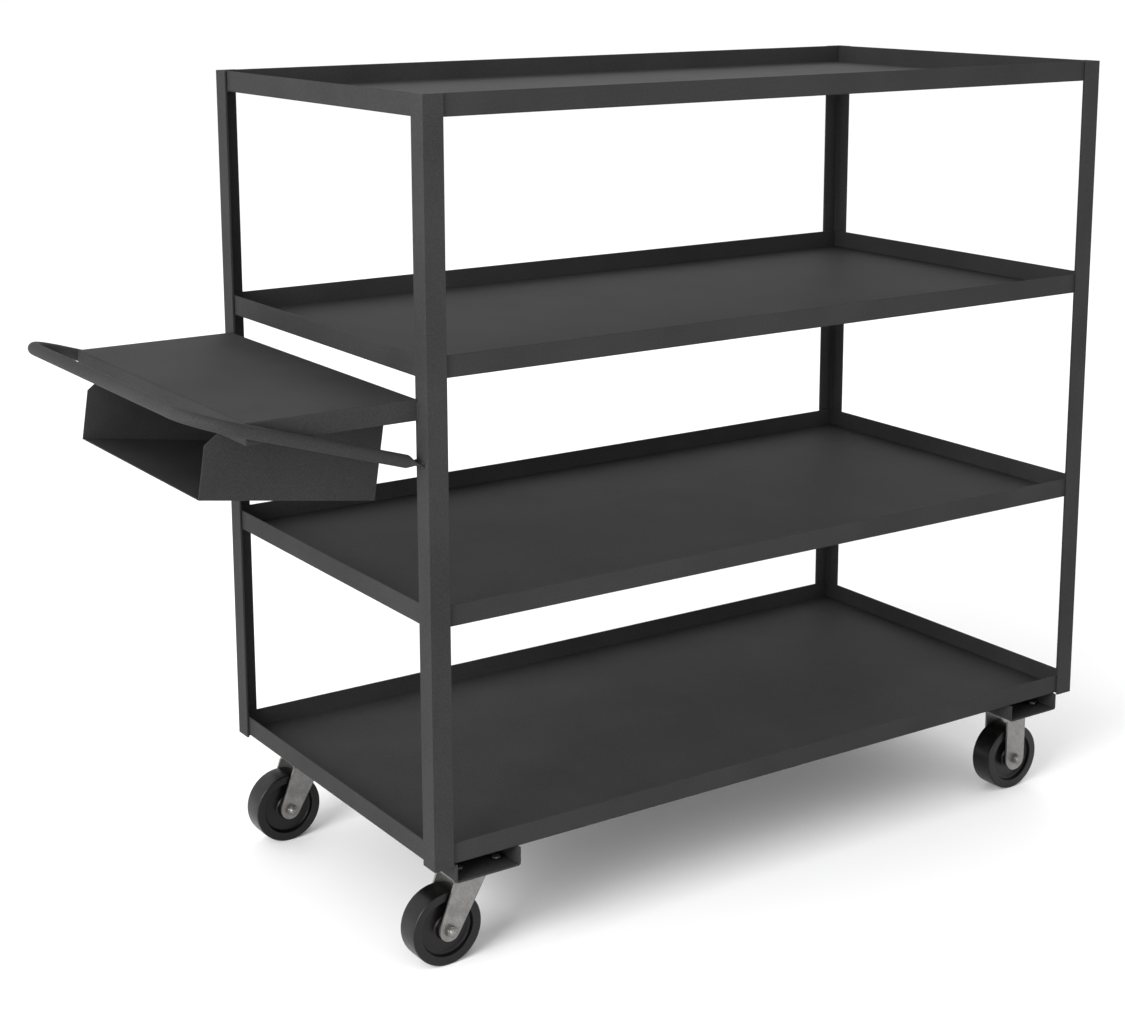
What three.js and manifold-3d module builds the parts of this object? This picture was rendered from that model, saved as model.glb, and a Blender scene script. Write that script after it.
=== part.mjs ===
// Rolling stock cart: four pan shelves in an angle-iron frame, with a writing shelf, a tilted
// storage pocket and a tubular push handle at the rear, two swivel casters under the handle end
// and two rigid casters at the front.
//
// Millimetres. +X is the direction of travel (away from the handle), +Y is the left side,
// +Z is up. The floor is z = 0 and the origin is under the middle of the overall box.

import * as THREE from 'three';
import { mergeVertices } from 'three/addons/utils/BufferGeometryUtils.js';
import Module from 'manifold-3d';

const wasm = await Module();
wasm.setup();

// ---------------------------------------------------------------- driving dimensions

const LENGTH = 1530.4; // over the posts, without the handle
const WIDTH = 768.4; // over the posts
const HEIGHT = 1510.2; // floor to the top of the posts
const FIT = 0.3; // gap between touching pieces

const POST = { leg: 38.1, thick: 4.8, bottom: 206.8 };
const SHELF = { lip: 38.1, sheet: 2.7, lowest: 209.9, pitch: 420.7 };
const SHELF_NAMES = ['bottom', 'second', 'third', 'top'];

const WRITING = { depth: 305, width: 708, top: 1018.3, flange: 36, sheet: 2.4 };
const POCKET = {
  width: 501.4, // over the two side plates
  depth: 319, // along the sloping floor
  front: 88.6, // front edge of a side plate, up to its chamfer
  tilt: THREE.MathUtils.degToRad(8.8), // the floor falls towards the shelves
  reach: 342, // lowest front corner, measured back from the rear posts
  base: 877.5, // height of that corner
  sheet: 2,
};
const HANDLE = {
  tube: 22.2, // outside diameter
  reach: 411, // rear posts to the outermost point
  inset: 26, // end centre, in from the side of the frame
  height: 911.1, // end centre above the floor
  rise: THREE.MathUtils.degToRad(17.6), // slope of the plane that the handle lies in
  splay: THREE.MathUtils.degToRad(2.5), // the legs open outwards
  bend: 75, // centre-line radius of the two corners
  taper: 28, // from the post to where the tube is round
  tab: 10, // fully flat length at each post
  blade: [31, 4.6], // width and thickness of the pressed end
};

const CHANNEL = { inset: 42, width: 130, height: 33.3, sheet: 3.5 };
const CASTER = { fromSide: 77, fromEnd: CHANNEL.inset + CHANNEL.width / 2 };
const PLATE = { length: 114, width: 102, thick: 5, boltSpacing: 76.2 };
const WHEEL = { radius: 68.2, width: 48, bore: 9.9, hub: 21, rim: 52, recess: 9 };
const FORK = { inner: 56, sheet: 4, crown: 37, crownThick: 6 };
const RIGID_LEG = 50; // width of a rigid fork's leg
const SWIVEL_OFFSET = 52; // axle behind the swivel axis
const BALL = { pitch: 27, radius: 3 }; // swivel ball ring
const AXLE = { radius: 6.3, bushing: 9.5, acrossFlats: 19, head: 8, nut: 11 };
const BOLT = { radius: 4.9, acrossFlats: 14.3, head: 6.4, length: 22 };
const KINGPIN = { radius: 7.9, head: 13, headHeight: 7, nut: 24, nutHeight: 9 };

// ---------------------------------------------------------------- derived places

const REAR = -LENGTH / 2; // outer face of the rear posts
const channelTop = SHELF.lowest - FIT;
const channelWebTop = channelTop - CHANNEL.height + CHANNEL.sheet;
const plateTop = channelTop - CHANNEL.height - FIT;
const plateBottom = plateTop - PLATE.thick;
const raceDepth = 7;
const ballCentre = plateBottom - raceDepth - FIT - BALL.radius;
const crownTop = ballCentre - BALL.radius - FIT;
const crownBottom = crownTop - FORK.crownThick;

// ---------------------------------------------------------------- finishes

const paint = { color: 0x3a3c3e, roughness: 0.5, metalness: 0.2 };
const zinc = { color: 0x8f8e8b, roughness: 0.35, metalness: 0.9 };
const phenolic = { color: 0x232425, roughness: 0.45, metalness: 0 };
const steel = { color: 0xa3a3a1, roughness: 0.3, metalness: 1 };

// ---------------------------------------------------------------- solids

/** A manifold solid from any closed three.js geometry. */
function solid(geometry) {
  const bare = geometry.clone();
  bare.deleteAttribute('normal');
  bare.deleteAttribute('uv');
  const merged = mergeVertices(bare, 1e-4);
  const vertProperties = new Float32Array(merged.attributes.position.array);
  const triVerts = new Uint32Array(merged.index.array);
  return new wasm.Manifold(new wasm.Mesh({ numProp: 3, vertProperties, triVerts }));
}

/** The three.js geometry of a manifold solid. */
function geometryOf(manifold) {
  const mesh = manifold.getMesh();
  const geometry = new THREE.BufferGeometry();
  geometry.setAttribute('position', new THREE.BufferAttribute(mesh.vertProperties, 3));
  geometry.setIndex(new THREE.BufferAttribute(mesh.triVerts, 1));
  geometry.computeVertexNormals();
  return geometry;
}

function box([x0, x1], [y0, y1], [z0, z1]) {
  const geometry = new THREE.BoxGeometry(x1 - x0, y1 - y0, z1 - z0);
  return geometry.translate((x0 + x1) / 2, (y0 + y1) / 2, (z0 + z1) / 2);
}

/** An outline in X and Z, extruded along Y from y0 to y1. */
function extrudeY(shape, y0, y1, curveSegments = 12) {
  const settings = { depth: y1 - y0, bevelEnabled: false, curveSegments };
  return new THREE.ExtrudeGeometry(shape, settings).rotateX(Math.PI / 2).translate(0, y1, 0);
}

function outline(points) {
  return new THREE.Shape(points.map(([x, y]) => new THREE.Vector2(x, y)));
}

/** A turned solid about the Z axis from [radius, height] pairs. */
function turned(profile, segments) {
  const points = profile.map(([r, z]) => new THREE.Vector2(r, z));
  return new THREE.LatheGeometry(points, segments).rotateX(Math.PI / 2);
}

/** A ring about Z with a rectangular section. */
function ring(inner, outer, z0, z1, segments) {
  const profile = [[inner, z0], [outer, z0], [outer, z1], [inner, z1], [inner, z0]];
  return turned(profile, segments);
}

function disc(radius, z0, z1, segments) {
  return turned([[0, z0], [radius, z0], [radius, z1], [0, z1]], segments);
}

/** A six-sided bar about Z. */
function hexagon(acrossFlats, z0, z1) {
  return disc(acrossFlats / Math.sqrt(3), z0, z1, 6);
}

/** A closed skin over matching rings of points, with a flat cap at each end. */
function loft(rings) {
  const count = rings[0].length;
  const vertices = rings.flat();
  const index = [];
  for (let i = 0; i + 1 < rings.length; i += 1) {
    for (let j = 0; j < count; j += 1) {
      const k = (j + 1) % count;
      const [a, b, c, d] = [i * count + j, i * count + k, (i + 1) * count + k, (i + 1) * count + j];
      index.push(a, b, c, a, c, d);
    }
  }
  const last = (rings.length - 1) * count;
  for (let j = 1; j + 1 < count; j += 1) {
    index.push(0, j + 1, j);
    index.push(last, last + j, last + j + 1);
  }
  const geometry = new THREE.BufferGeometry().setFromPoints(vertices);
  geometry.setIndex(index);
  return geometry;
}

// ---------------------------------------------------------------- the scene graph

const cart = new THREE.Group();
cart.position.x = HANDLE.reach / 2; // the handle makes the overall box longer at the rear

function place(parent, name, geometry, finish, position = [0, 0, 0]) {
  const mesh = new THREE.Mesh(geometry, new THREE.MeshStandardMaterial(finish));
  mesh.name = name;
  mesh.position.set(...position);
  parent.add(mesh);
  return mesh;
}

const CORNERS = [
  { name: 'rear_right', x: -1, y: -1 },
  { name: 'rear_left', x: -1, y: 1 },
  { name: 'front_right', x: 1, y: -1 },
  { name: 'front_left', x: 1, y: 1 },
];

// ---------------------------------------------------------------- frame and shelves

/** Angle iron with its heel at one corner of the frame and its legs pointing inwards. */
function cornerPost({ x, y }) {
  const { leg, thick } = POST;
  const section = [[0, 0], [leg, 0], [leg, thick], [thick, thick], [thick, leg], [0, leg]];
  const shape = outline(section.map(([u, v]) => [x * (LENGTH / 2 - u), y * (WIDTH / 2 - v)]));
  const settings = { depth: HEIGHT - POST.bottom, bevelEnabled: false };
  return new THREE.ExtrudeGeometry(shape, settings).translate(0, 0, POST.bottom);
}

/** A sheet-steel pan with all four lips turned up, nested inside the posts. */
function shelfPan(z) {
  const halfX = LENGTH / 2 - POST.thick - FIT;
  const halfY = WIDTH / 2 - POST.thick - FIT;
  const { lip, sheet } = SHELF;
  const outer = solid(box([-halfX, halfX], [-halfY, halfY], [z, z + lip]));
  const wellX = [-halfX + sheet, halfX - sheet];
  const wellY = [-halfY + sheet, halfY - sheet];
  return geometryOf(outer.subtract(solid(box(wellX, wellY, [z + sheet, z + lip + 1]))));
}

for (const corner of CORNERS) {
  place(cart, `corner_post_${corner.name}`, cornerPost(corner), paint);
}
SHELF_NAMES.forEach((name, i) => {
  place(cart, `${name}_shelf_pan`, shelfPan(SHELF.lowest + i * SHELF.pitch), paint);
});

// ---------------------------------------------------------------- writing shelf and pocket

/** A shallow pan turned upside down, its flanges hanging down on all four sides. */
function writingShelf() {
  const { depth, width, top, flange, sheet } = WRITING;
  const x = [REAR - depth, REAR - FIT];
  const y = [-width / 2, width / 2];
  const outer = solid(box(x, y, [top - flange, top]));
  const wellX = [x[0] + sheet, x[1] - sheet];
  const wellY = [y[0] + sheet, y[1] - sheet];
  return geometryOf(outer.subtract(solid(box(wellX, wellY, [top - flange - 1, top - sheet]))));
}

// The pocket's own directions in X and Z: down the floor, and square to it.
const slope = Math.tan(POCKET.tilt);
const along = [Math.cos(POCKET.tilt), -Math.sin(POCKET.tilt)];
const across = [Math.sin(POCKET.tilt), Math.cos(POCKET.tilt)];
const pocketNose = [REAR - POCKET.reach, POCKET.base];

/** A point in X and Z, so far down the pocket's floor and so far above it. */
function pocketPoint(down, up) {
  return [0, 1].map((i) => pocketNose[i] + along[i] * down + across[i] * up);
}

const shelfUnder = WRITING.top - WRITING.sheet - FIT;
const flangeUnder = WRITING.top - WRITING.flange - FIT;
const flangeFront = REAR - WRITING.depth + WRITING.sheet + FIT;
const flangeBack = REAR - FIT - WRITING.sheet - FIT;

/** Side plate: sloping floor, chamfered front corner, top edge inside the shelf's flanges. */
function pocketSide(y0) {
  const heel = pocketPoint(POCKET.depth, 0);
  const brow = pocketPoint(0, POCKET.front);
  const chamfer = Math.PI / 4 - POCKET.tilt;
  const hood = [brow[0] + (flangeUnder - brow[1]) / Math.tan(chamfer), flangeUnder];
  const backFoot = [flangeBack, heel[1] + (flangeBack - heel[0]) / slope];
  const points = [
    pocketNose,
    heel,
    backFoot,
    [flangeBack, shelfUnder],
    [flangeFront, shelfUnder],
    [flangeFront, flangeUnder],
    hood,
    brow,
  ];
  return extrudeY(outline(points), y0, y0 + POCKET.sheet);
}

/** Floor and back wall of the pocket, one folded sheet between the two side plates. */
function pocketLiner() {
  const { depth, sheet } = POCKET;
  const riser = (flangeUnder - pocketPoint(depth, 0)[1]) / across[1] - FIT;
  const points = [
    pocketPoint(0, 0),
    pocketPoint(depth, 0),
    pocketPoint(depth, riser),
    pocketPoint(depth - sheet, riser),
    pocketPoint(depth - sheet, sheet),
    pocketPoint(0, sheet),
  ];
  const halfWidth = POCKET.width / 2 - sheet - FIT;
  return extrudeY(outline(points), -halfWidth, halfWidth);
}

place(cart, 'writing_shelf', writingShelf(), paint);
place(cart, 'pocket_liner', pocketLiner(), paint);
place(cart, 'pocket_side_right', pocketSide(-POCKET.width / 2), paint);
place(cart, 'pocket_side_left', pocketSide(POCKET.width / 2 - POCKET.sheet), paint);

// ---------------------------------------------------------------- push handle

/** Centre line of the right half of the handle, as [distance out from the posts, y]. */
function handleHalf() {
  const bar = (HANDLE.reach - HANDLE.tube / 2) / Math.cos(HANDLE.rise);
  const y0 = -WIDTH / 2 + HANDLE.inset;
  const turn = Math.PI / 2 + HANDLE.splay;
  const tangent = HANDLE.bend * Math.tan(turn / 2);
  const legLength = bar / Math.cos(HANDLE.splay) - tangent;
  const direction = [Math.cos(HANDLE.splay), -Math.sin(HANDLE.splay)];
  const pressed = HANDLE.taper - HANDLE.tab;
  const flattening = [0, 0.25, 0.5, 0.75, 1].map((f) => HANDLE.tab + f * pressed);
  const line = [0, ...flattening, legLength].map((s) => ({
    out: direction[0] * s,
    y: y0 + direction[1] * s,
    angle: -HANDLE.splay,
    flat: THREE.MathUtils.clamp((HANDLE.taper - s) / pressed, 0, 1),
  }));
  const start = line.at(-1);
  const steps = 7;
  for (let i = 1; i <= steps; i += 1) {
    const angle = -HANDLE.splay + (turn * i) / steps;
    const out = start.out + HANDLE.bend * (Math.sin(angle) + Math.sin(HANDLE.splay));
    const y = start.y + HANDLE.bend * (Math.cos(HANDLE.splay) - Math.cos(angle));
    line.push({ out, y, angle, flat: 0 });
  }
  return line;
}

/** One ring of the tube: round along the handle, pressed flat at its ends. */
function handleRing({ out, y, angle, flat }) {
  const sides = 16;
  const press = flat * flat * (3 - 2 * flat);
  const halfWidth = THREE.MathUtils.lerp(HANDLE.tube / 2, HANDLE.blade[0] / 2, press);
  const halfThick = THREE.MathUtils.lerp(HANDLE.tube / 2, HANDLE.blade[1] / 2, press);
  const outward = new THREE.Vector3(-Math.cos(HANDLE.rise), 0, Math.sin(HANDLE.rise));
  const sideways = new THREE.Vector3(0, 1, 0);
  const normal = new THREE.Vector3(Math.sin(HANDLE.rise), 0, Math.cos(HANDLE.rise));
  const forward = outward.clone().multiplyScalar(Math.cos(angle));
  forward.addScaledVector(sideways, Math.sin(angle));
  const width = outward.clone().multiplyScalar(-Math.sin(angle));
  width.addScaledVector(sideways, Math.cos(angle));
  const centre = new THREE.Vector3(REAR - FIT, 0, HANDLE.height);
  centre.addScaledVector(outward, out).addScaledVector(sideways, y);
  const points = [];
  for (let i = 0; i < sides; i += 1) {
    const a = (-2 * Math.PI * i) / sides;
    const point = centre.clone().addScaledVector(width, halfWidth * Math.cos(a));
    point.addScaledVector(normal, halfThick * Math.sin(a));
    if (out === 0) {
      point.addScaledVector(forward, (REAR - FIT - point.x) / forward.x);
    }
    points.push(point);
  }
  return points;
}

/** The bent tube: a right half and its mirror image, joined across the middle. */
function pushHandle() {
  const right = handleHalf();
  const left = right.map(({ out, y, angle, flat }) => ({
    out,
    y: -y,
    angle: Math.PI - angle,
    flat,
  }));
  return loft([...right, ...left.reverse()].map(handleRing));
}

place(cart, 'push_handle', pushHandle(), paint);

// ---------------------------------------------------------------- caster channels and bolts

/** Bolt places about a caster's centre. */
const BOLT_PLACES = [[-1, -1], [-1, 1], [1, -1], [1, 1]].map((signs) =>
  signs.map((sign) => (sign * PLATE.boltSpacing) / 2));

/** Takes a caster's bolt and kingpin holes out of a solid whose caster stands at x, y. */
function drilled(body, x, y, z0, z1, kingpin) {
  let result = body;
  for (const [bx, by] of BOLT_PLACES) {
    const hole = disc(BOLT.radius + FIT, z0, z1, 12).translate(x + bx, y + by, 0);
    result = result.subtract(solid(hole));
  }
  if (kingpin) {
    const hole = disc(KINGPIN.radius + FIT, z0, z1, 20).translate(x, y, 0);
    result = result.subtract(solid(hole));
  }
  return result;
}

const casterX = LENGTH / 2 - CASTER.fromEnd;
const casterY = WIDTH / 2 - CASTER.fromSide;

/** U channel across the cart under the bottom shelf, open at both sides of the cart. */
function casterChannel(end) {
  const { width, height, sheet } = CHANNEL;
  const x = [end * casterX - width / 2, end * casterX + width / 2];
  const z = [channelTop - height, channelTop];
  const halfY = WIDTH / 2;
  const outer = solid(box(x, [-halfY, halfY], z));
  const well = box([x[0] + sheet, x[1] - sheet], [-halfY - 1, halfY + 1], [z[0] + sheet, z[1] + 1]);
  let channel = outer.subtract(solid(well));
  for (const side of [-1, 1]) {
    channel = drilled(channel, end * casterX, side * casterY, z[0] - 1, z[0] + sheet + 1, end < 0);
  }
  return geometryOf(channel);
}

/** Hex bolt, its head on the channel's web and its shank down through the caster plate. */
function mountingBolt() {
  const z = channelWebTop + FIT;
  const head = solid(hexagon(BOLT.acrossFlats, z, z + BOLT.head));
  return geometryOf(head.add(solid(disc(BOLT.radius, z - BOLT.length, z + 1, 12))));
}

place(cart, 'caster_channel_rear', casterChannel(-1), paint);
place(cart, 'caster_channel_front', casterChannel(1), paint);

// ---------------------------------------------------------------- wheel and axle

/** Wheel turned about Z: crowned tread, flat rim faces, recessed web and a proud hub. */
function wheelBody() {
  const { radius, width, bore, hub, rim, recess } = WHEEL;
  const half = width / 2;
  const hubHalf = FORK.inner / 2 - 1;
  const side = [
    [bore, hubHalf],
    [hub, hubHalf],
    [hub + 3, half - recess],
    [rim - 3, half - recess],
    [rim, half],
    [radius - 4, half],
    [radius - 0.8, half - 5],
    [radius, half - 13],
  ];
  const other = side.map(([r, z]) => [r, -z]);
  return turned([...other, ...side.reverse(), other[0]], 40);
}

/** Steel sleeve inside the wheel's hub, clamped between the fork's legs. */
function spannerBushing() {
  const half = FORK.inner / 2 - FIT;
  return ring(AXLE.radius + FIT, AXLE.bushing, -half, half, 16);
}

function axleBolt() {
  const face = FORK.inner / 2 + FORK.sheet + FIT;
  const head = solid(hexagon(AXLE.acrossFlats, face, face + AXLE.head));
  const shank = solid(disc(AXLE.radius, -face - AXLE.nut - 2, face + 1, 16));
  return geometryOf(head.add(shank));
}

function axleNut() {
  const face = FORK.inner / 2 + FORK.sheet + FIT;
  const body = solid(hexagon(AXLE.acrossFlats, -face - AXLE.nut, -face));
  const hole = disc(AXLE.radius + FIT, -face - AXLE.nut - 1, -face + 1, 16);
  return geometryOf(body.subtract(solid(hole)));
}

/** Turns a geometry made about Z so that it lies about Y, its top towards +Y. */
function aboutY(geometry) {
  return geometry.clone().rotateX(-Math.PI / 2);
}

// ---------------------------------------------------------------- forks and swivels

/** Leg outline in X and Z: straight edges from the crown down to a round end at the axle. */
function legOutline(axle, endRadius, topEdges, top) {
  const [rear, front] = topEdges;
  const points = [[rear, top]];
  const tangentAngle = (edge, sign) => {
    const dx = edge - axle[0];
    const dz = top - axle[1];
    const reach = Math.hypot(dx, dz);
    return Math.atan2(dz, dx) + sign * Math.acos(endRadius / reach);
  };
  const from = tangentAngle(rear, 1);
  const to = tangentAngle(front, -1) + 2 * Math.PI;
  const steps = 10;
  for (let i = 0; i <= steps; i += 1) {
    const a = from + ((to - from) * i) / steps;
    points.push([axle[0] + endRadius * Math.cos(a), axle[1] + endRadius * Math.sin(a)]);
  }
  points.push([front, top]);
  return outline(points);
}

/** A crown with two legs, drilled for the axle. */
function fork(crown, shape, axle) {
  const half = FORK.inner / 2;
  let body = solid(crown);
  for (const y0 of [-half - FORK.sheet, half]) {
    body = body.add(solid(extrudeY(shape, y0, y0 + FORK.sheet)));
  }
  const reach = half + FORK.sheet + 1;
  const hole = aboutY(disc(AXLE.radius + FIT, -reach, reach, 16)).translate(axle[0], 0, axle[1]);
  return body.subtract(solid(hole));
}

/** Swivel fork: round crown with a ball groove, legs raked back to the axle. */
function swivelFork() {
  const axle = [-SWIVEL_OFFSET, WHEEL.radius];
  const shape = legOutline(axle, 20, [-40, 25], crownTop - 2);
  const crown = disc(FORK.crown, crownBottom, crownTop, 28);
  const body = fork(crown, shape, axle);
  const hole = disc(KINGPIN.radius + FIT, crownBottom - 1, crownTop + 1, 20);
  return geometryOf(body.subtract(solid(hole)));
}

/** Rigid fork: flat crown under the top plate, upright legs. */
function rigidFork() {
  const top = plateBottom - FIT;
  const axle = [0, WHEEL.radius];
  const half = RIGID_LEG / 2;
  const shape = legOutline(axle, half, [-half - 0.5, half + 0.5], top - 1);
  const reach = FORK.inner / 2 + FORK.sheet;
  const crown = box([-half - 0.5, half + 0.5], [-reach, reach], [top - FORK.sheet, top]);
  return geometryOf(fork(crown, shape, axle));
}

/** Caster plate; the swivel casters' plates carry the upper ball race underneath. */
function casterPlate(swivel) {
  const { length, width } = PLATE;
  const x = [-length / 2, length / 2];
  let plate = solid(box(x, [-width / 2, width / 2], [plateBottom, plateTop]));
  if (swivel) {
    const rim = BALL.pitch + 9;
    const race = [
      [0, plateBottom - raceDepth],
      [rim - 4, plateBottom - raceDepth],
      [rim, plateBottom - 1],
      [rim, plateBottom + 1],
      [0, plateBottom + 1],
    ];
    plate = plate.add(solid(turned(race, 28)));
  }
  return geometryOf(drilled(plate, 0, 0, plateBottom - raceDepth - 1, plateTop + 1, swivel));
}

/** The swivel's ring of balls. */
function ballRing() {
  return new THREE.TorusGeometry(BALL.pitch, BALL.radius, 6, 24).translate(0, 0, ballCentre);
}

/** Kingpin: round head inside the channel, shank down through the swivel, nut under the crown. */
function kingpin() {
  const z = channelWebTop + FIT;
  const nutTop = crownBottom - FIT;
  const head = solid(disc(KINGPIN.head, z, z + KINGPIN.headHeight, 20));
  const shank = solid(disc(KINGPIN.radius, nutTop - 1, z + 1, 20));
  const nut = solid(hexagon(KINGPIN.nut, nutTop - KINGPIN.nutHeight, nutTop));
  return geometryOf(head.add(shank).add(nut));
}

const sharedBolt = mountingBolt();
const sharedWheel = aboutY(wheelBody());
const sharedBushing = aboutY(spannerBushing());
const sharedAxle = aboutY(axleBolt());
const sharedNut = aboutY(axleNut());
const sharedForks = { swivel: swivelFork(), rigid: rigidFork() };
const sharedPlates = { swivel: casterPlate(true), rigid: casterPlate(false) };

/** One caster, hanging under its channel at a corner of the cart. */
function caster({ name, x, y }) {
  const kind = x < 0 ? 'swivel' : 'rigid';
  const group = new THREE.Group();
  group.position.set(x * casterX, y * casterY, 0);
  cart.add(group);
  place(group, `${kind}_plate_${name}`, sharedPlates[kind], zinc);
  place(group, `${kind}_fork_${name}`, sharedForks[kind], zinc);
  if (kind === 'swivel') {
    place(group, `ball_ring_${name}`, ballRing(), steel);
    place(group, `kingpin_${name}`, kingpin(), zinc);
  }
  const axle = [kind === 'swivel' ? -SWIVEL_OFFSET : 0, 0, WHEEL.radius];
  place(group, `wheel_${name}`, sharedWheel, phenolic, axle);
  place(group, `spanner_bushing_${name}`, sharedBushing, steel, axle);
  place(group, `axle_bolt_${name}`, sharedAxle, zinc, axle);
  place(group, `axle_nut_${name}`, sharedNut, zinc, axle);
  BOLT_PLACES.forEach(([bx, by], i) => {
    place(group, `mounting_bolt_${name}_${i + 1}`, sharedBolt, zinc, [bx, by, 0]);
  });
}

for (const corner of CORNERS) {
  caster(corner);
}

export default cart;
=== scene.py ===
import math
import random

import bmesh
import bpy
from mathutils import Matrix, Vector


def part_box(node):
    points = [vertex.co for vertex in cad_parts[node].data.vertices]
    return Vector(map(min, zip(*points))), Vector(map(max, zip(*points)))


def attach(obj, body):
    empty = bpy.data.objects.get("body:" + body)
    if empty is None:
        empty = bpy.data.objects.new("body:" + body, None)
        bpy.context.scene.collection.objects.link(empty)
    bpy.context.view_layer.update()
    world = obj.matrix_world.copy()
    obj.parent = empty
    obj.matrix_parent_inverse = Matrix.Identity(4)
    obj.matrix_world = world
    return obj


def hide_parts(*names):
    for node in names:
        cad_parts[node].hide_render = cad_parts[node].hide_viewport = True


# Looks of the rolling stock cart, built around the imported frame. Metres, +X away from the handle, +Z up.

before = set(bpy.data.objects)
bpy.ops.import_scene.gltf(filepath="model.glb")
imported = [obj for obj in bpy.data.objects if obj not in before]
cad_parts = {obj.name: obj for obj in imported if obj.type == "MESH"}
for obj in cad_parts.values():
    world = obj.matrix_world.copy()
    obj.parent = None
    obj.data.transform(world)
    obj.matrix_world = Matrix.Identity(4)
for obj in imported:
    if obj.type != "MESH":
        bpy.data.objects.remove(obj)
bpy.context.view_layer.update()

# ---------------------------------------------------------------- driving dimensions, metres

MM = 0.001
POST_THICK = 4.8 * MM
POST_FILLET = 4.5 * MM  # inside corner of the angle iron
POST_TOE = 2.2 * MM  # rounding of its two toes
SHELF_SHEET = 2.7 * MM
SHELF_BEND = 3.6 * MM  # outside radius of a folded edge
WRITING_SHEET = 2.4 * MM
WRITING_BEND = 3.0 * MM
POCKET_SHEET = 2.0 * MM
POCKET_TILT = math.radians(8.8)
TUBE = 22.2 * MM
HANDLE_RISE = math.radians(17.6)
HANDLE_SPLAY = math.radians(2.5)
HANDLE_BEND = 75 * MM
HANDLE_INSET = 26.4 * MM
HANDLE_TAPER = 28 * MM
HANDLE_TAB = 10 * MM
HANDLE_BLADE = (31 * MM, 4.6 * MM)
CHANNEL_SHEET = 3.5 * MM
CHANNEL_BEND = 5.5 * MM
FORK_SHEET = 4 * MM
FORK_INNER = 56 * MM  # between the legs
FORK_BEND = 9 * MM
LEG_FACE = FORK_INNER / 2 + FORK_SHEET + 0.3 * MM  # just outside a leg, from the fork's middle
PLATE_THICK = 5 * MM
KINGPIN_HOLE = 8.2 * MM
BOLT_SPACING = 76.2 * MM
BOLT_ACROSS = 14.3 * MM
BOLT_HEAD = 6.4 * MM
BOLT_RADIUS = 4.9 * MM
BOLT_LENGTH = 22 * MM
SWIVEL_OFFSET = 52 * MM  # how far the axle trails the swivel's axis
WHEEL_RADIUS = 68.2 * MM
WHEEL_HALF = 24 * MM  # half its width
AXLE_RADIUS = 6.3 * MM
AXLE_ACROSS = 19 * MM  # of its head and nut
WELD_RIPPLE = 1.5 * MM

CORNERS = ("rear_right", "rear_left", "front_right", "front_left")
SHELVES = ("bottom", "second", "third", "top")

# The camera is placed from the middle of the four posts, which is this far along X from the origin.
POSTS_MIDDLE = (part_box("corner_post_rear_right")[0].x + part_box("corner_post_front_left")[1].x) / 2
CAMERA_PLACE = (-2.379 + POSTS_MIDDLE, -3.196, 1.743)
CAMERA_YAW = math.radians(33.7)
CAMERA_PITCH = math.radians(-11.3)
CAMERA_ROLL = math.radians(-0.18)
CAMERA_LENS = 66.1
CAMERA_SHIFT = -0.14

# Square lamps: name, place, what they aim at, side and watts.
LAMPS = (
    ("key", (-5.2, -2.1, 2.6), (0, 0, 0.8), 3.0, 395),
    ("back", (4.2, 6.0, 3.4), (0, 0, 0.7), 3.6, 45),
)
SKY_STRENGTH = 1.1

PAINT_DARK = (0.0165, 0.0165, 0.0168)
PAINT_LIGHT = (0.0325, 0.0325, 0.033)
ZINC_DARK = (0.165, 0.162, 0.156)
ZINC_LIGHT = (0.27, 0.266, 0.256)
STEEL_DARK = (0.36, 0.36, 0.35)
STEEL_LIGHT = (0.6, 0.59, 0.57)
RESIN_DARK = (0.002, 0.002, 0.002)
RESIN_LIGHT = (0.008, 0.0078, 0.0076)
FLOOR_DARK = (0.93, 0.93, 0.93)
FLOOR_LIGHT = (0.95, 0.95, 0.95)


# ---------------------------------------------------------------- mesh helpers

def finish_mesh(name, bm, material, bevel=0.0, segments=2, angle=30):
    """A smooth-shaded object from a bmesh, with softened edges and normals that keep its flats flat."""
    bmesh.ops.recalc_face_normals(bm, faces=bm.faces)
    mesh = bpy.data.meshes.new(name)
    bm.to_mesh(mesh)
    bm.free()
    for polygon in mesh.polygons:
        polygon.use_smooth = True
    piece = bpy.data.objects.new(name, mesh)
    bpy.context.scene.collection.objects.link(piece)
    mesh.materials.append(material)
    if bevel:
        soften = piece.modifiers.new("soft_edges", "BEVEL")
        soften.width = bevel
        soften.segments = segments
        soften.limit_method = "ANGLE"
        soften.angle_limit = math.radians(angle)
        soften.use_clamp_overlap = True
    weigh = piece.modifiers.new("weighted_normals", "WEIGHTED_NORMAL")
    weigh.keep_sharp = True
    return piece


def put(piece, body, slot, *nodes):
    """Places a piece on its body and hides the nodes it stands for."""
    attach(piece, body)
    if nodes:
        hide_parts(*nodes)
    return piece


def loft(bm, loops, closed=False):
    """Skins matching loops of points, back to the first one or with a flat face over each end."""
    rings = [[bm.verts.new(point) for point in loop] for loop in loops]
    pairs = list(zip(rings, rings[1:]))
    if closed:
        pairs.append((rings[-1], rings[0]))
    count = len(rings[0])
    for lower, upper in pairs:
        for i in range(count):
            j = (i + 1) % count
            bm.faces.new((lower[i], lower[j], upper[j], upper[i]))
    if not closed:
        bm.faces.new(reversed(rings[0]))
        bm.faces.new(rings[-1])


def angles(start, end, count):
    """Angles at even steps, from degrees to radians."""
    return [math.radians(start + (end - start) * i / count) for i in range(count + 1)]


def arc(centre, radius, start, end, count):
    """Points on an arc, angles in degrees."""
    x, y = centre
    return [(x + radius * math.cos(a), y + radius * math.sin(a)) for a in angles(start, end, count)]


def ring_section(inner, outer, low, high):
    """Half the section of a ring, or of a disc where inner is 0, for turned()."""
    return [(inner, low), (outer, low), (outer, high), (inner, high)]


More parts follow.
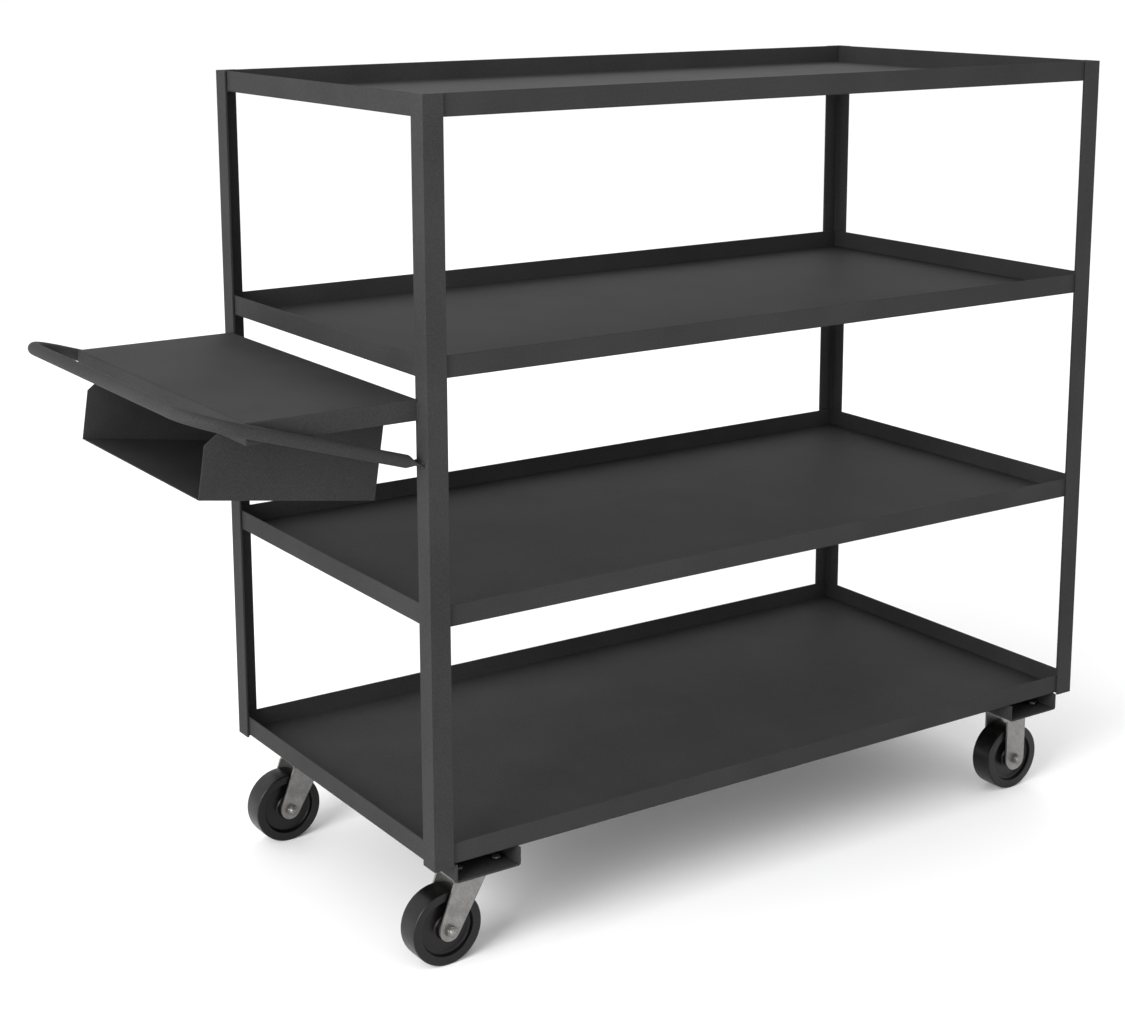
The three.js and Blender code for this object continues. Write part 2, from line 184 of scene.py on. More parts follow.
def rounded(points, radii, steps=5):
    """A closed outline with each corner rounded to its own radius."""
    outline = []
    count = len(points)
    for i, (point, radius) in enumerate(zip(points, radii)):
        corner = Vector(point)
        if radius <= 0:
            outline.append(corner)
            continue
        before = (Vector(points[i - 1]) - corner).normalized()
        after = (Vector(points[(i + 1) % count]) - corner).normalized()
        half = before.angle(after) / 2
        reach = radius / math.tan(half)
        centre = corner + (before + after).normalized() * (radius / math.sin(half))
        start = corner + before * reach - centre
        finish = corner + after * reach - centre
        turn = start.angle_signed(finish)
        for k in range(steps + 1):
            a = -turn * k / steps
            c, s = math.cos(a), math.sin(a)
            outline.append(centre + Vector((start.x * c - start.y * s, start.x * s + start.y * c)))
    return outline


def prism(bm, outline, low, high, place):
    """An outline pushed along a line; place turns (u, v, w) into a point."""
    loft(bm, [[place(p[0], p[1], w) for p in outline] for w in (low, high)])


def turned(bm, profile, segments, matrix=Matrix.Identity(4)):
    """A solid of revolution about Z from (radius, height) pairs, closed at the axis or on itself."""
    rings = []
    for radius, height in profile:
        if radius < 1e-7:
            rings.append([bm.verts.new(matrix @ Vector((0, 0, height)))])
            continue
        ring = []
        for i in range(segments):
            a = 2 * math.pi * i / segments
            ring.append(bm.verts.new(matrix @ Vector((radius * math.cos(a), radius * math.sin(a), height))))
        rings.append(ring)
    pairs = list(zip(rings, rings[1:]))
    if len(rings[0]) > 1:
        pairs.append((rings[-1], rings[0]))
    for lower, upper in pairs:
        for i in range(segments):
            j = (i + 1) % segments
            if len(lower) == 1 and len(upper) > 1:
                bm.faces.new((lower[0], upper[j], upper[i]))
            elif len(upper) == 1 and len(lower) > 1:
                bm.faces.new((lower[i], lower[j], upper[0]))
            elif len(lower) > 1:
                bm.faces.new((lower[i], lower[j], upper[j], upper[i]))


def rect_loop(x, y, radius, z, steps=4):
    """A rounded rectangle between x[0]..x[1] and y[0]..y[1] at height z."""
    radius = max(radius, 0.05 * MM)
    corners = (
        (x[1] - radius, y[1] - radius, 0),
        (x[0] + radius, y[1] - radius, 90),
        (x[0] + radius, y[0] + radius, 180),
        (x[1] - radius, y[0] + radius, 270),
    )
    loop = []
    for cx, cy, start in corners:
        loop += [Vector((px, py, z)) for px, py in arc((cx, cy), radius, start, start + 90, steps)]
    return loop


def cut(piece, cutters):
    """Takes the cutters out of a piece for good."""
    bm = bmesh.new()
    for build in cutters:
        build(bm)
    mesh = bpy.data.meshes.new("cutter")
    bmesh.ops.recalc_face_normals(bm, faces=bm.faces)
    bm.to_mesh(mesh)
    bm.free()
    cutter = bpy.data.objects.new("cutter", mesh)
    bpy.context.scene.collection.objects.link(cutter)
    boolean = piece.modifiers.new("holes", "BOOLEAN")
    boolean.operation = "DIFFERENCE"
    boolean.solver = "EXACT"
    boolean.object = cutter
    piece.modifiers.move(len(piece.modifiers) - 1, 0)
    for modifier in piece.modifiers:
        modifier.show_viewport = modifier.name == "holes"
    bpy.context.view_layer.update()
    evaluated = piece.evaluated_get(bpy.context.evaluated_depsgraph_get())
    solid = bpy.data.meshes.new_from_object(evaluated)
    for modifier in piece.modifiers:
        modifier.show_viewport = True
    piece.modifiers.remove(boolean)
    piece.data = solid
    bpy.data.objects.remove(cutter)


# ---------------------------------------------------------------- materials

def node_material(name):
    """A new material, its node tree and its shader."""
    material = bpy.data.materials.new(name)
    material.use_nodes = True
    tree = material.node_tree
    return material, tree, tree.nodes["Principled BSDF"]


def add_node(tree, kind, **inputs):
    """A node with the values of its inputs; an underscore stands for a space in an input's name."""
    node = tree.nodes.new(kind)
    for key, value in inputs.items():
        node.inputs[key.replace("_", " ")].default_value = value
    return node


def noise_node(tree, vector, scale, detail=4.0, roughness=0.5):
    """Noise over a place, from 0 to 1."""
    node = add_node(tree, "ShaderNodeTexNoise", Scale=scale, Detail=detail, Roughness=roughness)
    tree.links.new(vector, node.inputs["Vector"])
    return node.outputs["Fac"]


def remap(tree, value, low, high, to_low, to_high):
    """A value stretched from one range to another, and held inside it."""
    node = tree.nodes.new("ShaderNodeMapRange")
    for key, number in zip(("From Min", "From Max", "To Min", "To Max"), (low, high, to_low, to_high)):
        node.inputs[key].default_value = number
    tree.links.new(value, node.inputs["Value"])
    return node.outputs["Result"]


def combine(tree, operation, a, b):
    """Arithmetic on two values, each a socket or a number."""
    node = tree.nodes.new("ShaderNodeMath")
    node.operation = operation
    for socket, value in zip(node.inputs, (a, b)):
        if isinstance(value, (int, float)):
            socket.default_value = value
        else:
            tree.links.new(value, socket)
    return node.outputs["Value"]


def weighted(tree, *parts):
    """A sum of values, each times its own share."""
    total = 0.0
    for value, share in parts:
        total = combine(tree, "ADD", total, combine(tree, "MULTIPLY", value, share))
    return total


def blend_colour(tree, factor, a, b):
    """A colour between a and b."""
    node = tree.nodes.new("ShaderNodeMix")
    node.data_type = "RGBA"
    node.inputs[6].default_value = (*a, 1)
    node.inputs[7].default_value = (*b, 1)
    tree.links.new(factor, node.inputs[0])
    return node.outputs[2]


def bump(tree, shader, height, strength, distance):
    """Fine relief on a shader."""
    node = add_node(tree, "ShaderNodeBump", Strength=strength, Distance=distance)
    tree.links.new(height, node.inputs["Height"])
    tree.links.new(node.outputs["Normal"], shader.inputs["Normal"])


def object_coordinates(tree):
    return tree.nodes.new("ShaderNodeTexCoord").outputs["Object"]


def turned_rings(tree, place):
    """Distance from the axle and along it, so that a noise over them makes the rings a lathe leaves."""
    split = tree.nodes.new("ShaderNodeSeparateXYZ")
    tree.links.new(place, split.inputs["Vector"])
    squares = [combine(tree, "MULTIPLY", split.outputs[axis], split.outputs[axis]) for axis in ("X", "Z")]
    radius = combine(tree, "SQRT", combine(tree, "ADD", *squares), 0.0)
    join = tree.nodes.new("ShaderNodeCombineXYZ")
    tree.links.new(radius, join.inputs["X"])
    tree.links.new(split.outputs["Y"], join.inputs["Y"])
    return join.outputs["Vector"]


def powder_coat():
    """Dark grey textured powder coat: sandy grains, a fine speckle of lighter ones and faint mottling."""
    material, tree, shader = node_material("powder_coat")
    place = object_coordinates(tree)
    cloud = noise_node(tree, place, 6, 3)
    coarse = noise_node(tree, place, 430, 2, 0.6)
    grain = noise_node(tree, place, 1150, 3, 0.65)
    sand = add_node(tree, "ShaderNodeTexVoronoi", Scale=1300.0, Randomness=1.0)
    tree.links.new(place, sand.inputs["Vector"])
    tone = weighted(tree, (cloud, 0.2), (coarse, 0.4), (grain, 0.4))
    colour = blend_colour(tree, remap(tree, tone, 0.4, 0.6, 0, 1), PAINT_DARK, PAINT_LIGHT)
    tree.links.new(colour, shader.inputs["Base Color"])
    tree.links.new(remap(tree, grain, 0.3, 0.7, 0.66, 0.84), shader.inputs["Roughness"])
    height = weighted(tree, (coarse, 0.5), (grain, 0.3), (sand.outputs["Distance"], -0.5))
    bump(tree, shader, height, 0.4, 0.35 * MM)
    shader.inputs["Specular IOR Level"].default_value = 0.16
    return material


def zinc_plate():
    """Zinc-plated pressed steel: warm grey, cloudy, with fine drawing marks."""
    material, tree, shader = node_material("zinc_plate")
    place = object_coordinates(tree)
    cloud = noise_node(tree, place, 45, 4)
    spangle = noise_node(tree, place, 320, 2)
    stretch = add_node(tree, "ShaderNodeMapping", Scale=(1, 1, 0.06))
    tree.links.new(place, stretch.inputs["Vector"])
    marks = noise_node(tree, stretch.outputs["Vector"], 900, 3)
    clouded = combine(tree, "MULTIPLY", cloud, 0.6)
    spangled = combine(tree, "MULTIPLY", spangle, 0.4)
    tone = combine(tree, "ADD", clouded, spangled)
    colour = blend_colour(tree, remap(tree, tone, 0.35, 0.65, 0, 1), ZINC_DARK, ZINC_LIGHT)
    tree.links.new(colour, shader.inputs["Base Color"])
    shader.inputs["Metallic"].default_value = 0.85
    tree.links.new(remap(tree, tone, 0.35, 0.65, 0.34, 0.5), shader.inputs["Roughness"])
    bump(tree, shader, combine(tree, "ADD", marks, combine(tree, "MULTIPLY", cloud, 0.6)), 0.12, 0.3 * MM)
    return material


def bright_steel():
    """Turned and rolled steel of the sleeves, balls and washers."""
    material, tree, shader = node_material("bright_steel")
    place = object_coordinates(tree)
    rings = noise_node(tree, place, 1400, 3)
    tint = noise_node(tree, place, 60, 2)
    colour = blend_colour(tree, tint, STEEL_DARK, STEEL_LIGHT)
    tree.links.new(colour, shader.inputs["Base Color"])
    shader.inputs["Metallic"].default_value = 1.0
    tree.links.new(remap(tree, rings, 0.3, 0.7, 0.18, 0.36), shader.inputs["Roughness"])
    bump(tree, shader, rings, 0.08, 0.2 * MM)
    return material


def phenolic():
    """Moulded phenolic wheel: near black, flecked with chopped cloth, satin from the mould."""
    material, tree, shader = node_material("phenolic")
    place = object_coordinates(tree)
    flecks = add_node(tree, "ShaderNodeTexVoronoi", Scale=330.0, Randomness=1.0)
    tree.links.new(place, flecks.inputs["Vector"])
    fleck = remap(tree, flecks.outputs["Distance"], 0.0, 0.45, 1, 0)
    cloud = noise_node(tree, place, 70, 4)
    tone = combine(tree, "MULTIPLY", fleck, remap(tree, cloud, 0.4, 0.65, 0.1, 1))
    colour = blend_colour(tree, tone, RESIN_DARK, RESIN_LIGHT)
    tree.links.new(colour, shader.inputs["Base Color"])
    rings = noise_node(tree, turned_rings(tree, place), 1100, 3)
    gloss = combine(tree, "ADD", combine(tree, "MULTIPLY", cloud, 0.5), combine(tree, "MULTIPLY", rings, 0.5))
    tree.links.new(remap(tree, gloss, 0.35, 0.65, 0.26, 0.44), shader.inputs["Roughness"])
    shader.inputs["Specular IOR Level"].default_value = 0.3
    bump(tree, shader, combine(tree, "ADD", rings, combine(tree, "MULTIPLY", tone, 0.4)), 0.2, 0.25 * MM)
    return material


def pale_floor():
    """Matt, nearly white floor."""
    material, tree, shader = node_material("pale_floor")
    place = object_coordinates(tree)
    colour = blend_colour(tree, noise_node(tree, place, 0.8, 2), FLOOR_DARK, FLOOR_LIGHT)
    tree.links.new(colour, shader.inputs["Base Color"])
    shader.inputs["Roughness"].default_value = 0.9
    shader.inputs["Specular IOR Level"].default_value = 0.1
    return material


PAINT = powder_coat()
ZINC = zinc_plate()
STEEL = bright_steel()
RESIN = phenolic()


# ---------------------------------------------------------------- frame and shelves

def corner_signs(corner):
    """Which way the cart's middle lies from a corner, along X and along Y."""
    return (1 if "rear" in corner else -1), (1 if "right" in corner else -1)


def corner_post(corner):
    """Rolled angle iron: sharp heel, filleted root and rounded toes."""
    node = f"corner_post_{corner}"
    low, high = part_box(node)
    sx, sy = corner_signs(corner)
    heel = (low.x if sx > 0 else high.x, low.y if sy > 0 else high.y)
    leg = high.x - low.x
    t = POST_THICK
    points = [(0, 0), (leg, 0), (leg, t), (t, t), (t, leg), (0, leg)]
    radii = [0.8 * MM, 0.5 * MM, POST_TOE, POST_FILLET, POST_TOE, 0.5 * MM]
    outline = rounded(points, radii)
    bm = bmesh.new()
    prism(bm, outline, low.z, high.z, lambda u, v, w: Vector((heel[0] + sx * u, heel[1] + sy * v, w)))
    put(finish_mesh(node, bm, PAINT, 0.5 * MM, 2, 50), "cart_frame", "paint", node)


def pan_loops(x, y, base, height, sheet, bend, corner, flip=1):
    """Loops of a folded pan from the middle of its outside, round its lips, to the middle of its inside."""
    inner = max(bend - sheet, 0.6 * MM)
    edge = sheet * 0.45
    path = [(2.5 * bend, 0)]
    path += arc((bend, bend), bend, 270, 180, 6)
    path += [(0, height - edge)]
    path += arc((edge, height - edge), edge, 150, 90, 2)
    path += arc((sheet - edge, height - edge), edge, 90, 0, 3)
    path += [(sheet, sheet + inner)]
    path += arc((sheet + inner, sheet + inner), inner, 198, 270, 4)
    path += [(sheet + 2.5 * inner, sheet)]
    loops = []
    for inset, rise in path:
        radius = max(corner - inset, 0.6 * MM)
        sides = (x[0] + inset, x[1] - inset), (y[0] + inset, y[1] - inset)
        loops.append(rect_loop(*sides, radius, base + flip * rise))
    return loops


def folded_pan(node, sheet, bend, corner, upside_down=False):
    """A sheet-steel pan in a node's box, its lips turned up, or hanging down."""
    low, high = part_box(node)
    height = high.z - low.z
    base, flip = (high.z, -1) if upside_down else (low.z, 1)
    bm = bmesh.new()
    loft(bm, pan_loops((low.x, high.x), (low.y, high.y), base, height, sheet, bend, corner, flip))
    put(finish_mesh(node, bm, PAINT), "cart_frame", "paint", node)


# ---------------------------------------------------------------- weld beads

def weld_bead(bm, points, radius, rng):
    """A rippled fillet bead along a line of points: one lumpy ridge for each puddle."""
    length = sum((b - a).length for a, b in zip(points, points[1:]))
    ripples = max(2, round(length / WELD_RIPPLE))
    stations = ripples * 3 + 1
    loops = []
    for i in range(stations):
        f = i / (stations - 1)
        centre, along = _on_line(points, f * length)
        side = along.cross(Vector((0.31, 0.77, 0.56))).normalized()
        up = along.cross(side)
        swell = 1 + 0.13 * math.cos(2 * math.pi * i / 3) + rng.uniform(-0.07, 0.07)
        end = min(1.0, min(f, 1 - f) * length / radius + 0.25)
        r = radius * swell * math.sqrt(end)
        loop = []
        for k in range(8):
            a = 2 * math.pi * k / 8
            loop.append(centre + side * (r * math.cos(a)) + up * (r * math.sin(a)))
        loops.append(loop)
    loft(bm, loops)


def _on_line(points, distance):
    """The point at a distance along a line of points, and the direction there."""
    for a, b in zip(points, points[1:]):
        step = (b - a).length
        if distance <= step or b is points[-1]:
            along = (b - a).normalized()
            return a + along * min(distance, step), along
        distance -= step
    raise ValueError("a weld needs at least two points")


def stitches(bm, start, end, count, length, radius, rng):
    """Short beads spaced evenly along a seam."""
    along = (end - start).normalized()
    for i in range(count):
        middle = start.lerp(end, (i + 0.5) / count)
        weld_bead(bm, [middle - along * length / 2, middle + along * length / 2], radius, rng)


def shelf_welds():
    """Beads in the groove under each pan's edge and over its lip, inside every post."""
    rng = random.Random(4)
    bm = bmesh.new()
    for shelf in SHELVES:
        low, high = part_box(f"{shelf}_shelf_pan")
        for corner in CORNERS:
            a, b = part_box(f"corner_post_{corner}")
            sx, sy = corner_signs(corner)
            toe = Vector((b.x if sx > 0 else a.x, b.y if sy > 0 else a.y))
            face = Vector((low.x if sx > 0 else high.x, low.y if sy > 0 else high.y))
            seams = [(low.z + 0.9 * MM, 0.7 * MM, 2.0 * MM)]
            if shelf != "top":
                seams.append((high.z - 0.2 * MM, 0, 1.4 * MM))
            for z, inset, radius in seams:
                x, y = face.x + sx * inset, face.y + sy * inset
                run_x = [Vector((toe.x - sx * back, y, z)) for back in (24 * MM, 1 * MM)]
                run_y = [Vector((x, toe.y - sy * back, z)) for back in (24 * MM, 1 * MM)]
                weld_bead(bm, run_x, radius, rng)
                weld_bead(bm, run_y, radius, rng)
    put(finish_mesh("shelf_welds", bm, PAINT), "cart_frame", "paint")


def channel_welds():
    """Stitches outside the channels' flanges, under the bottom shelf."""
    rng = random.Random(5)
    bm = bmesh.new()
    for end in ("rear", "front"):
        low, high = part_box(f"caster_channel_{end}")
        for x in (low.x, high.x):
            start, finish = Vector((x, low.y + 70 * MM, high.z)), Vector((x, high.y - 70 * MM, high.z))
            stitches(bm, start, finish, 4, 45 * MM, 2.2 * MM, rng)
    put(finish_mesh("channel_welds", bm, PAINT), "cart_frame", "paint")


def writing_welds():
    """Beads that hold the writing shelf to the rear posts and the pocket to the writing shelf."""
    rng = random.Random(6)
    bm = bmesh.new()
    low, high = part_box("writing_shelf")
    inside_top = high.z - WRITING_SHEET
    for y in (low.y, high.y):
        foot, head = Vector((high.x, y, low.z + 2 * MM)), Vector((high.x, y, high.z - 4 * MM))
        weld_bead(bm, [foot, head], 1.6 * MM, rng)
    for side in ("right", "left"):
        a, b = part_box(f"pocket_side_{side}")
        y = a.y if side == "right" else b.y
        start, finish = Vector((low.x + 60 * MM, y, inside_top)), Vector((high.x - 40 * MM, y, inside_top))
        stitches(bm, start, finish, 3, 25 * MM, 1.6 * MM, rng)
    put(finish_mesh("writing_welds", bm, PAINT), "cart_frame", "paint")


for corner in CORNERS:
    corner_post(corner)
for shelf in SHELVES:
    folded_pan(f"{shelf}_shelf_pan", SHELF_SHEET, SHELF_BEND, 3 * MM)
shelf_welds()


# ---------------------------------------------------------------- writing shelf and pocket

def sheet_profile(points, thickness, bend, steps=6):
    """The closed outline of a folded sheet whose one face follows points, thickened to its left."""
    count = len(points)
    sides = []
    for a, b in zip(points, points[1:]):
        along = (Vector(b) - Vector(a)).normalized()
        sides.append(Vector((-along.y, along.x)))
    other = []
    for i, point in enumerate(points):
        if i == 0:
            offset = sides[0] * thickness
        elif i == count - 1:
            offset = sides[-1] * thickness
        else:
            total = sides[i - 1] + sides[i]
            offset = total * (thickness / (1 + sides[i - 1].dot(sides[i])))
        other.append(Vector(point) + offset)
    outline = [Vector(p) for p in points] + list(reversed(other))
    inner = max(bend - thickness, 0.5 * MM)
    radii = [0] + [bend] * (count - 2) + [0, 0] + [inner] * (count - 2) + [0]
    return rounded(outline, radii, steps)


def pocket():
    """Floor and back wall in one folded sheet, and two side plates with a chamfered corner."""
    low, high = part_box("pocket_liner")
    side_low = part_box("pocket_side_right")[0]
    along = Vector((math.cos(POCKET_TILT), -math.sin(POCKET_TILT)))
    across = Vector((math.sin(POCKET_TILT), math.cos(POCKET_TILT)))
    floor_z = _nose_height()
    nose = Vector((side_low.x, floor_z))
    run = (floor_z - side_low.z) / math.sin(POCKET_TILT)
    heel = nose + along * run
    riser = (high.z - heel.y) / across.y - POCKET_SHEET * math.tan(POCKET_TILT)
    profile = sheet_profile([nose, heel, heel + across * riser], POCKET_SHEET, 3 * MM)
    bm = bmesh.new()
    prism(bm, profile, low.y, high.y, lambda u, v, w: Vector((u, w, v)))
    put(finish_mesh("pocket_liner", bm, PAINT, 0.35 * MM, 2, 40), "cart_frame", "paint", "pocket_liner")
    for side in ("right", "left"):
        node = f"pocket_side_{side}"
        a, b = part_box(node)
        outline = _node_outline(node)
        bm = bmesh.new()
        prism(bm, outline, a.y, b.y, lambda u, v, w: Vector((u, w, v)))
        put(finish_mesh(node, bm, PAINT, 0.45 * MM, 2, 25), "cart_frame", "paint", node)


def _nose_height():
    """Height of the lowest point on the side plates' edge that is nearest to the handle."""
    vertices = [v.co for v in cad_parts["pocket_side_right"].data.vertices]
    edge = min(v.x for v in vertices)
    return min(v.z for v in vertices if v.x < edge + 0.1 * MM)


def _node_outline(node):
    """The outline in X and Z of a flat plate node, in order round its edge."""
    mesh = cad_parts[node].data
    face_y = min(v.co.y for v in mesh.vertices)
    edges = {}
    count = {}

    def key(vertex):
        return round(vertex.co.x, 6), round(vertex.co.z, 6)

    for polygon in mesh.polygons:
        corners = [mesh.vertices[i] for i in polygon.vertices]
        if all(abs(v.co.y - face_y) < 1e-6 for v in corners):
            for a, b in zip(corners, corners[1:] + corners[:1]):
                pair = frozenset((key(a), key(b)))
                count[pair] = count.get(pair, 0) + 1
    for pair, used in count.items():
        if used == 1:
            a, b = tuple(pair)
            edges.setdefault(a, []).append(b)
            edges.setdefault(b, []).append(a)
    start = min(edges)
    outline, previous, current = [start], None, start
    while True:
        onward = [p for p in edges[current] if p != previous]
        previous, current = current, onward[0]
        if current == start:
            return outline
        outline.append(current)


folded_pan("writing_shelf", WRITING_SHEET, WRITING_BEND, 1.6 * MM, upside_down=True)
pocket()


# ---------------------------------------------------------------- push handle

def handle_stations():
    """Centre line of the right half, as (distance out, y, heading, how far pressed flat)."""
    low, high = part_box("push_handle")
    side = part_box("corner_post_rear_right")[0].y
    bar = (high.x - low.x - TUBE / 2) / math.cos(HANDLE_RISE)
    y0 = side + HANDLE_INSET
    turn = math.pi / 2 + HANDLE_SPLAY
    leg = bar / math.cos(HANDLE_SPLAY) - HANDLE_BEND * math.tan(turn / 2)
    stations = []
    pressed = HANDLE_TAPER - HANDLE_TAB
    flattening = [HANDLE_TAB + pressed * i / 12 for i in range(13)]
    for s in [0, HANDLE_TAB / 2] + flattening + [leg * f for f in (0.2, 0.4, 0.6, 0.8, 1.0)]:
        flat = min(1.0, max(0.0, (HANDLE_TAPER - s) / pressed))
        flat = flat * flat * (3 - 2 * flat)
        stations.append((math.cos(HANDLE_SPLAY) * s, y0 - math.sin(HANDLE_SPLAY) * s, -HANDLE_SPLAY, flat))
    out0, y1 = stations[-1][:2]
    steps = 28
    for i in range(1, steps + 1):
        a = -HANDLE_SPLAY + turn * i / steps
        out = out0 + HANDLE_BEND * (math.sin(a) + math.sin(HANDLE_SPLAY))
        stations.append((out, y1 + HANDLE_BEND * (math.cos(HANDLE_SPLAY) - math.cos(a)), a, 0.0))
    return stations


def handle_ring(out, y, heading, flat, anchor, sides=32):
    """One ring of the tube, a superellipse where it is pressed flat."""
    outward = Vector((-math.cos(HANDLE_RISE), 0, math.sin(HANDLE_RISE)))
    normal = Vector((math.sin(HANDLE_RISE), 0, math.cos(HANDLE_RISE)))
    forward = outward * math.cos(heading) + Vector((0, 1, 0)) * math.sin(heading)
    width = Vector((0, 1, 0)) * math.cos(heading) - outward * math.sin(heading)
    a = TUBE / 2 + (HANDLE_BLADE[0] - TUBE) / 2 * flat
    b = TUBE / 2 + (HANDLE_BLADE[1] - TUBE) / 2 * flat
    power = 1 - 0.45 * flat
    centre = anchor + outward * out + Vector((0, y, 0))
    loop = []
    for i in range(sides):
        t = -2 * math.pi * i / sides
        c, s = math.cos(t), math.sin(t)
        u = math.copysign(abs(c) ** power, c)
        v = math.copysign(abs(s) ** power, s)
        point = centre + width * (a * u) + normal * (b * v)
        if out == 0:
            point += forward * ((anchor.x - point.x) / forward.x)
        loop.append(point)
    return loop


def push_handle():
    """The bent tube with both ends pressed flat, and the beads that hold them to the posts."""
    low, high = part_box("push_handle")
    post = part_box("corner_post_rear_right")[0]
    height = low.z + HANDLE_BLADE[1] / 2 * math.cos(HANDLE_RISE)
    anchor = Vector((high.x, 0, height))
    right = handle_stations()
    left = [(out, -y, math.pi - heading, flat) for out, y, heading, flat in reversed(right)]
    bm = bmesh.new()
    loft(bm, [handle_ring(*station, anchor) for station in right + left])
    put(finish_mesh("push_handle", bm, PAINT), "cart_frame", "paint", "push_handle")
    welds = bmesh.new()
    rng = random.Random(9)
    half = HANDLE_BLADE[0] / 2
    for sign in (-1, 1):
        y = sign * (-post.y - HANDLE_INSET)
        for dz in (-1, 1):
            z = height + dz * (HANDLE_BLADE[1] / 2 + 0.6 * MM)
            seam = [Vector((anchor.x - 0.6 * MM, y - half, z)), Vector((anchor.x - 0.6 * MM, y + half, z))]
            weld_bead(welds, seam, 2.4 * MM, rng)
    put(finish_mesh("handle_welds", welds, PAINT), "cart_frame", "paint")


push_handle()
writing_welds()


# ---------------------------------------------------------------- caster channels

def bolt_places(x, y):
    """Centres of the four bolts round a caster's middle."""
    half = BOLT_SPACING / 2
    return [(x + i * half, y + j * half) for i in (-1, 1) for j in (-1, 1)]


def caster_axis(corner):
    """Where a caster's bolt pattern is centred."""
    kind = "swivel" if "rear" in corner else "rigid"
    low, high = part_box(f"{kind}_plate_{corner}")
    return (low.x + high.x) / 2, (low.y + high.y) / 2


def hole(x, y, low, high, radius, segments=24):
    """A function that adds one upright drill to a cutter's mesh."""
    def build(bm):
        turned(bm, ring_section(0, radius, low, high), segments, Matrix.Translation((x, y, 0)))
    return build


def caster_channel(end):
    """Formed U channel across the cart, open at both sides, drilled for the casters' bolts."""
    node = f"caster_channel_{end}"
    low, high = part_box(node)
    line = [(low.x, high.z), (low.x, low.z), (high.x, low.z), (high.x, high.z)]
    outline = sheet_profile(line, CHANNEL_SHEET, CHANNEL_BEND, 7)
    bm = bmesh.new()
    prism(bm, outline, low.y, high.y, lambda u, v, w: Vector((u, w, v)))
    piece = finish_mesh(node, bm, PAINT, 0.4 * MM, 2, 40)
    z = (low.z - MM, low.z + CHANNEL_SHEET + MM)
    cutters = []
    for corner in CORNERS:
        if end in corner:
            x, y = caster_axis(corner)
            cutters += [hole(bx, by, *z, 5.4 * MM) for bx, by in bolt_places(x, y)]
            if end == "rear":
                cutters.append(hole(x, y, *z, KINGPIN_HOLE, 32))
    cut(piece, cutters)
    put(piece, "cart_frame", "paint", node)


for end in ("rear", "front"):
    caster_channel(end)
channel_welds()


# ---------------------------------------------------------------- fasteners

def hex_solid(bm, across, z0, z1, matrix, chamfer_top=True, chamfer_bottom=False, bore=0.0):
    """A hexagon with the curved chamfer that turning leaves on its corners."""
    count = 48
    flat = across / 2

    def reach(i):
        a = math.radians(360 * i / count)
        return flat / math.cos((a + math.pi / 6) % (math.pi / 3) - math.pi / 6)

    def loop(radius_of, height_of):
        points = []
        for i in range(count):
            a = 2 * math.pi * i / count
            r = radius_of(i)
            points.append(matrix @ Vector((r * math.cos(a), r * math.sin(a), height_of(r))))
        return points

    slope = math.tan(math.radians(30))
    crown = flat * 0.955

    def drop(r):
        return max(0.0, r - crown) * slope

    loops = []
    if bore:
        loops.append(loop(lambda i: bore, lambda r: z0))
    if chamfer_bottom:
        loops.append(loop(lambda i: crown, lambda r: z0))
    loops.append(loop(reach, (lambda r: z0 + drop(r)) if chamfer_bottom else (lambda r: z0)))
    loops.append(loop(reach, (lambda r: z1 - drop(r)) if chamfer_top else (lambda r: z1)))
    if chamfer_top:
        loops.append(loop(lambda i: crown, lambda r: z1))
    if bore:
        loops.append(loop(lambda i: bore, lambda r: z1))
    loft(bm, loops, closed=bool(bore))


def threaded(bm, radius, z0, z1, pitch, matrix, segments=20):
    """A rod with the ridges of a thread from z0 to z1 and a chamfered tip at z0."""
    depth = 0.55 * pitch
    profile = [(0, z0), (radius - 1.6 * depth, z0), (radius - depth, z0 + depth)]
    count = int((z1 - z0 - depth) / pitch)
    for i in range(count):
        base = z0 + depth + i * pitch
        profile += [(radius, base + 0.45 * pitch), (radius, base + 0.6 * pitch)]
        profile += [(radius - depth, base + pitch)]
    profile += [(radius - depth, z1), (0, z1)]
    turned(bm, profile, segments, matrix)


def shared(name, build, material):
    """A mesh made once, at the origin, for pieces that repeat."""
    bm = bmesh.new()
    build(bm)
    template = finish_mesh(name, bm, material)
    mesh = template.data
    bpy.data.objects.remove(template)
    return mesh


def copy_of(name, mesh, place, turn=0.0):
    """One of the repeated pieces, set down where it belongs."""
    piece = bpy.data.objects.new(name, mesh)
    bpy.context.scene.collection.objects.link(piece)
    piece.matrix_world = Matrix.Translation(place) @ Matrix.Rotation(turn, 4, "Z")
    piece.modifiers.new("weighted_normals", "WEIGHTED_NORMAL").keep_sharp = True
    return piece


def build_mounting_bolt(bm):
    """Origin under the head; washer face, chamfered head and threaded shank."""
    hex_solid(bm, BOLT_ACROSS, 0.4 * MM, BOLT_HEAD, Matrix.Identity(4))
    turned(bm, ring_section(0, BOLT_ACROSS * 0.48, 0, 0.6 * MM), 32)
    threaded(bm, BOLT_RADIUS, -BOLT_LENGTH, 0.2 * MM, 1.5 * MM, Matrix.Identity(4))


def build_plate_nut(bm):
    """Flat washer and nut hanging under a caster plate, origin at the plate."""
    washer = [(5.2 * MM, -1.6 * MM), (10.4 * MM, -1.6 * MM), (10.7 * MM, -1.3 * MM)]
    washer += [(10.7 * MM, -0.3 * MM), (10.4 * MM, 0), (5.2 * MM, 0)]
    turned(bm, washer, 40)
    hex_solid(bm, BOLT_ACROSS, -10 * MM, -1.7 * MM, Matrix.Identity(4), True, True, bore=4.6 * MM)


BOLT_MESH = shared("mounting_bolt", build_mounting_bolt, ZINC)
PLATE_NUT_MESH = shared("plate_nut", build_plate_nut, ZINC)


